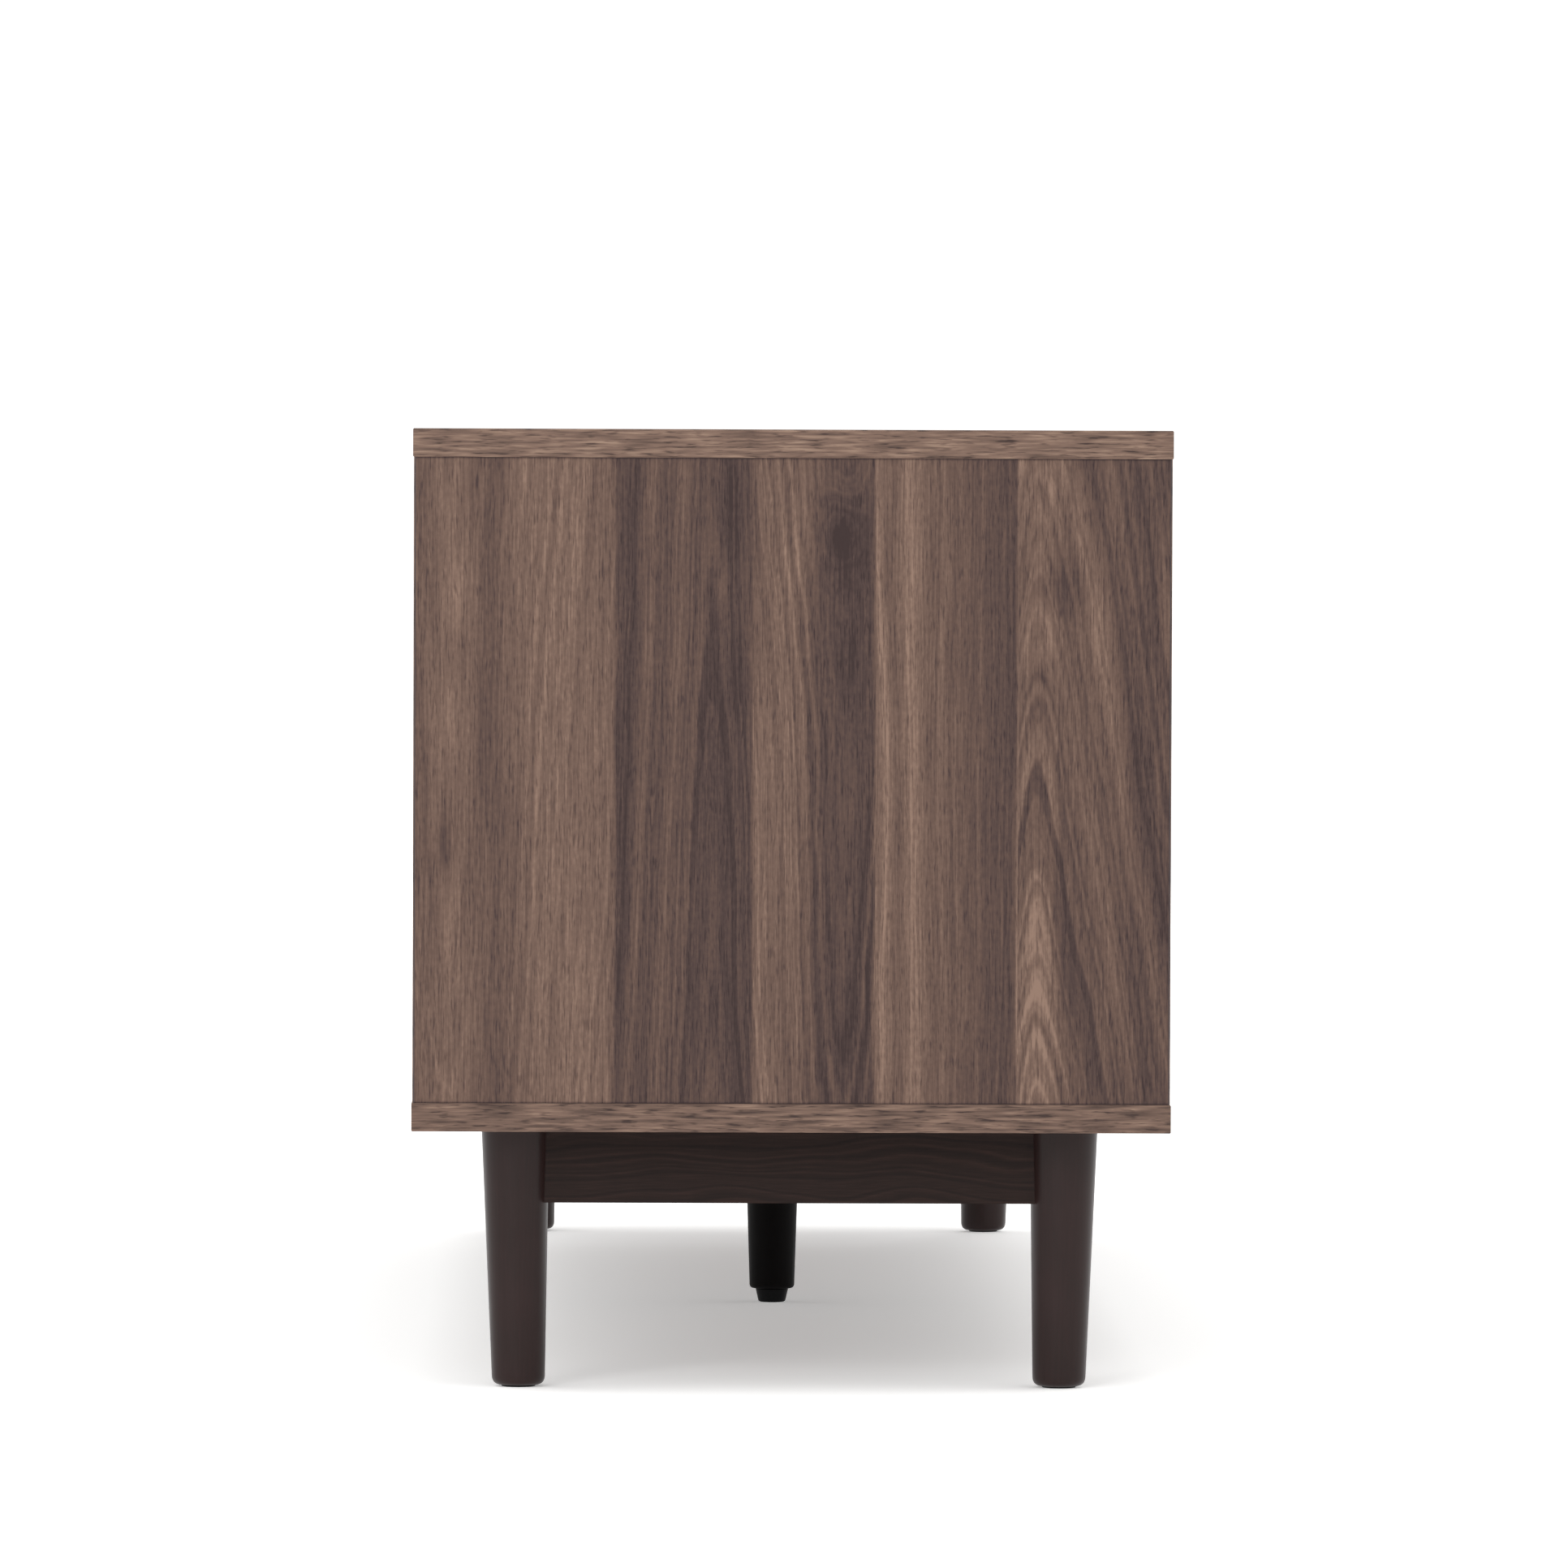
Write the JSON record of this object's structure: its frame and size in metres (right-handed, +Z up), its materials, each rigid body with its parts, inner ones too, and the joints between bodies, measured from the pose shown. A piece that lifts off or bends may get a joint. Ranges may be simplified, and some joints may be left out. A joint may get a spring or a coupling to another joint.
{
  "type": "television console cabinet",
  "caption": "Long low cabinet for a television, with sliding doors, an open middle bay, adjustable shelves and tapered round legs with a levelling centre leg.",
  "frame": {"origin": "on the floor, under the middle of the cabinet", "axes": "+Z up, +X along the cabinet's length to the right as seen from the front, -Y towards the front"},
  "size_m": [1.48, 0.4, 0.508],
  "materials": {
    "walnut_laminate_board": "walnut-look melamine laminate on particleboard, matt, with a fine printed grain",
    "walnut_edge_band": "walnut-look edge band, matt",
    "zinc_plated_steel": "zinc-plated steel, dull",
    "beech_dowel": "raw beech, fluted",
    "brown_hardboard": "hardboard with a plain brown face",
    "black_moulded_plastic": "moulded black plastic, fine texture",
    "brown_extruded_plastic": "extruded dark brown plastic, matt",
    "nylon": "black nylon",
    "dark_bronze_metal": "pressed steel cup with a dark bronze lacquer",
    "espresso_lacquered_wood": "turned hardwood with an espresso satin lacquer",
    "black_lacquered_wood": "turned hardwood with a black-brown satin lacquer",
    "espresso_laminate_rail": "espresso wood-look laminate on particleboard, matt",
    "steel_insert": "zinc-plated steel threaded insert",
    "black_glide_plastic": "black plastic floor glide"
  },
  "bodies": {
    "cabinet": {"apron_brackets": "zinc_plated_steel", "back_joiner_strips": "black_moulded_plastic", "back_panel_centre": "brown_hardboard", "back_panel_left": "brown_hardboard", "back_panel_right": "brown_hardboard", "bottom_edge_banding": "walnut_edge_band", "bottom_panel": "walnut_laminate_board", "bracket_screws": "zinc_plated_steel", "cable_grommets": "black_moulded_plastic", "cam_bolts": "zinc_plated_steel", "cam_locks": "zinc_plated_steel", "centre_leg": "black_lacquered_wood", "centre_rail_front": "espresso_laminate_rail", "centre_rail_rear": "espresso_laminate_rail", "centre_shelf": "walnut_laminate_board", "divider_edge_banding": "walnut_edge_band", "dowels": "beech_dowel", "front_apron": "espresso_laminate_rail", "front_left_leg": "espresso_lacquered_wood", "front_right_leg": "espresso_lacquered_wood", "left_apron": "espresso_laminate_rail", "left_divider": "walnut_laminate_board", "left_shelf": "walnut_laminate_board", "left_side_panel": "walnut_laminate_board", "leg_glides": "black_glide_plastic", "leg_studs": "zinc_plated_steel", "leg_threaded_inserts": "steel_insert", "levelling_bush": "steel_insert", "lower_track": "brown_extruded_plastic", "rear_apron": "espresso_laminate_rail", "rear_left_leg": "espresso_lacquered_wood", "rear_right_leg": "espresso_lacquered_wood", "right_apron": "espresso_laminate_rail", "right_divider": "walnut_laminate_board", "right_shelf": "walnut_laminate_board", "right_side_panel": "walnut_laminate_board", "shelf_edge_banding": "walnut_edge_band", "shelf_pins": "zinc_plated_steel", "side_edge_banding": "walnut_edge_band", "top_edge_banding": "walnut_edge_band", "top_panel": "walnut_laminate_board", "track_screws": "zinc_plated_steel", "upper_track": "brown_extruded_plastic"},
    "left_door": {"left_door": "walnut_laminate_board", "left_door_edge_banding": "walnut_edge_band", "left_door_finger_cup": "dark_bronze_metal", "left_door_gliders": "nylon", "left_door_top_guides": "nylon"},
    "right_door": {"right_door": "walnut_laminate_board", "right_door_edge_banding": "walnut_edge_band", "right_door_finger_cup": "dark_bronze_metal", "right_door_gliders": "nylon", "right_door_top_guides": "nylon"},
    "levelling_foot": {"levelling_pad": "black_moulded_plastic"},
    "levelling_stem": {"levelling_stem": "zinc_plated_steel"}
  },
  "joints": [
    {"name": "left_door_slide", "type": "slide", "parent": "cabinet", "child": "left_door", "axis": [1, 0, 0], "range_m": [0, 0.9596]},
    {"name": "right_door_slide", "type": "slide", "parent": "cabinet", "child": "right_door", "axis": [-1, 0, 0], "range_m": [0, 0.9596]},
    {"name": "levelling_foot_travel", "type": "slide", "parent": "cabinet", "child": "levelling_foot", "axis": [0, 0, -1], "range_m": [0, 0.012]},
    {"name": "levelling_stem_turn", "type": "hinge", "parent": "levelling_foot", "child": "levelling_stem", "pos_m": [0, 0, 0.02], "axis": [0, 0, -1], "range_deg": [0, 3457]}
  ],
  "couplings": [
    {"joint": "levelling_stem_turn", "follows": "levelling_foot_travel", "rad_per_m": 5026.5}
  ]
}
